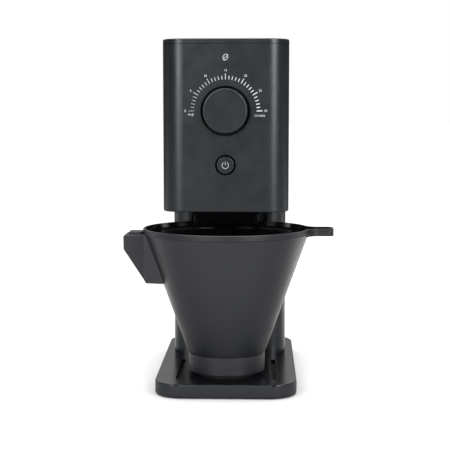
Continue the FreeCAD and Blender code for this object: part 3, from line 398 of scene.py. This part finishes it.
def dress_base():
    """The base's top is glossy and coloured darker, painted shade; its sides are satin and coloured lighter,
    painted light; the two grooves in the top are dull and near-black, painted shade.
    """
    mesh = nodes["base_shell"].data
    mesh.materials.append(DEEP_PAINTED_SHADE)
    mesh.materials.append(BASE_SIDE_PAINTED_LIGHT)
    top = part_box("base_shell")[1].z
    for face in mesh.polygons:
        off = abs(abs(face.center.x) - GROOVE_X)
        sunk = top - GROOVE_SINK < face.center.z < top - 0.1 * MM
        # Faces inside the two grooves get the near-black painted shade.
        if off < GROOVE_HALF and sunk and face.center.y < GROOVE_END:
            face.material_index = 1
        # Upright faces get the lighter side copy: painted light.
        elif abs(face.normal.z) < 0.6:
            face.material_index = 2


# ---- filter holder ----
def dress_holder():
    """The inside of the cone is polished, the outside is matt."""
    mesh = nodes["holder_cone"].data
    mesh.materials.append(HOLDER_INSIDE)
    for face in mesh.polygons:
        away = Vector((face.center.x - HOLDER_AXIS.x, face.center.y - HOLDER_AXIS.y))
        inward = away.x * face.normal.x + away.y * face.normal.y < -1e-5 * away.length
        if inward and face.center.z < CONE_TOP - 0.4 * MM:
            face.material_index = 1


# ---- button spring ----
def button_spring_coil():
    """A copy of the spring, with its placement baked into its mesh; the original spring node is hidden."""
    seat = nodes["button_spring"]
    coil = bpy.data.objects.new("button_spring_coil", seat.data.copy())
    bpy.context.scene.collection.objects.link(coil)
    coil.matrix_world = seat.matrix_world.copy()
    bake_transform(coil)
    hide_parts("button_spring")


# ---- surroundings ----
KEY_SIZE = (0.6, 1.2)
TOP_SIZE = (1.8, 1.2)
FRONT_GLOW = 0.08
BACK_GLOW = 0.85
ROOM_EDGE = (0.25, 0.9)
SKY_EDGE = (0.15, 0.27)
FLOOR_HALF = 40.0
FLOOR_LIFT = 0.62
FLOOR_REACH = (0.3, 1.2)
REAR_FLOOR_GLOW = 1.5
REAR_FLOOR = (0.03, 0.3, 0.45, 1.0)
FRONT_FLOOR_GLOW = 0.45
FRONT_FLOOR = (-0.14, -0.20, -0.45, -0.75)
PAINTED_CONTACT_SHADOW_REACH = 0.03


def area_light(name, place, aim, size, size_y, power):
    light = bpy.data.lights.new(name, "AREA")
    light.shape = "RECTANGLE"
    light.size = size
    light.size_y = size_y
    light.energy = power
    lamp = bpy.data.objects.new(name, light)
    bpy.context.scene.collection.objects.link(lamp)
    lamp.location = place
    lamp.rotation_euler = (Vector(aim) - Vector(place)).to_track_quat("-Z", "Y").to_euler()


def studio():
    floor = new_floor()
    area_light("key_left", (-0.76, -1.46, 0.86), (0, 0, 0.2), *KEY_SIZE, 22)
    area_light("key_right", (0.92, -1.36, 0.86), (0, 0, 0.2), *KEY_SIZE, 24.5)
    area_light("top_soft", (0, 0.1, 1.6), (0, 0, 0), *TOP_SIZE, 32)
    bpy.context.scene.world = studio_world()


def studio_world():
    """White backdrop; reflections see a dim room that brightens upwards behind the object."""
    world = bpy.data.worlds.new("studio_world")
    world.use_nodes = True
    tree = world.node_tree
    background = tree.nodes["Background"]
    background.inputs["Color"].default_value = (1, 1, 1, 1)
    split = tree.nodes.new("ShaderNodeSeparateXYZ")
    tree.links.new(tree.nodes.new("ShaderNodeTexCoord").outputs["Generated"], split.inputs["Vector"])
    behind = remap(tree, split.outputs["Y"], ROOM_EDGE[0], ROOM_EDGE[1])
    above = remap(tree, split.outputs["Z"], SKY_EDGE[0], SKY_EDGE[1])
    room = remap(tree, product(tree, behind, above), 0.0, 1.0, FRONT_GLOW, BACK_GLOW)
    seen = tree.nodes.new("ShaderNodeLightPath").outputs["Is Camera Ray"]
    glow = tree.nodes.new("ShaderNodeMix")
    tree.links.new(seen, glow.inputs["Factor"])
    tree.links.new(room, glow.inputs["A"])
    glow.inputs["B"].default_value = 1.0
    tree.links.new(glow.outputs["Result"], background.inputs["Strength"])
    return world


def floor_strip(tree, along, edges, glow):
    """Glow between the first and last edge, full from the second to the third."""
    rise = remap(tree, along, edges[0], edges[1])
    fall = remap(tree, along, edges[2], edges[3], glow, 0.0)
    return product(tree, rise, fall)


def new_floor():
    """Pale floor; its lift towards white grows outwards, so that it meets the backdrop unseen. Near the
    object the lift is dimmed by ambient occlusion: a painted contact shadow.
    """
    mesh = bpy.data.meshes.new("floor")
    s = FLOOR_HALF
    mesh.from_pydata([(-s, -s, 0), (s, -s, 0), (s, s, 0), (-s, s, 0)], [], [(0, 1, 2, 3)])
    material, tree, bsdf, place = shader("floor_paper")
    paper = noise(tree, place, 40.0)
    tone = blend_colours(tree, paper, (0.40, 0.40, 0.40), (0.42, 0.42, 0.42))
    tree.links.new(tone, bsdf.inputs["Base Color"])
    bsdf.inputs["Roughness"].default_value = 0.9
    bsdf.inputs["Specular IOR Level"].default_value = 0.0
    distance = tree.nodes.new("ShaderNodeVectorMath")
    distance.operation = "LENGTH"
    tree.links.new(place, distance.inputs[0])
    lift = remap(tree, distance.outputs["Value"], FLOOR_REACH[0], FLOOR_REACH[1], FLOOR_LIFT, 1.0)
    split = tree.nodes.new("ShaderNodeSeparateXYZ")
    tree.links.new(place, split.inputs["Vector"])
    rear = floor_strip(tree, split.outputs["Y"], REAR_FLOOR, REAR_FLOOR_GLOW)
    front = floor_strip(tree, split.outputs["Y"], FRONT_FLOOR, FRONT_FLOOR_GLOW)
    strips = tree.nodes.new("ShaderNodeMath")
    tree.links.new(rear, strips.inputs[0])
    tree.links.new(front, strips.inputs[1])
    # Ambient occlusion dims the floor's lift near the object: a painted contact shadow.
    painted_contact_shadow = tree.nodes.new("ShaderNodeAmbientOcclusion")
    painted_contact_shadow.inputs["Distance"].default_value = PAINTED_CONTACT_SHADOW_REACH
    rays = tree.nodes.new("ShaderNodeLightPath")
    shown = product(tree, product(tree, lift, rays.outputs["Is Camera Ray"]), painted_contact_shadow.outputs["AO"])
    mirrored = product(tree, strips.outputs["Value"], rays.outputs["Is Glossy Ray"])
    glow = tree.nodes.new("ShaderNodeMath")
    tree.links.new(shown, glow.inputs[0])
    tree.links.new(mirrored, glow.inputs[1])
    bsdf.inputs["Emission Color"].default_value = (1, 1, 1, 1)
    tree.links.new(glow.outputs["Value"], bsdf.inputs["Emission Strength"])
    mesh.materials.append(material)
    floor = bpy.data.objects.new("floor", mesh)
    bpy.context.scene.collection.objects.link(floor)
    return floor


def camera():
    data = bpy.data.cameras.new("camera")
    data.lens = 90.0
    data.sensor_width = 36.0
    eye = bpy.data.objects.new("camera", data)
    bpy.context.scene.collection.objects.link(eye)
    eye.location = (0.03365, -1.15447, 0.26577)
    eye.rotation_euler = (math.radians(84.564), 0, math.radians(1.84))
    bpy.context.scene.camera = eye


camera()
studio()
dial_scale()
power_symbol()
bean_symbol()
dress_holder()
dress_base()
button_spring_coil()
bpy.context.scene.view_settings.view_transform = "Standard"
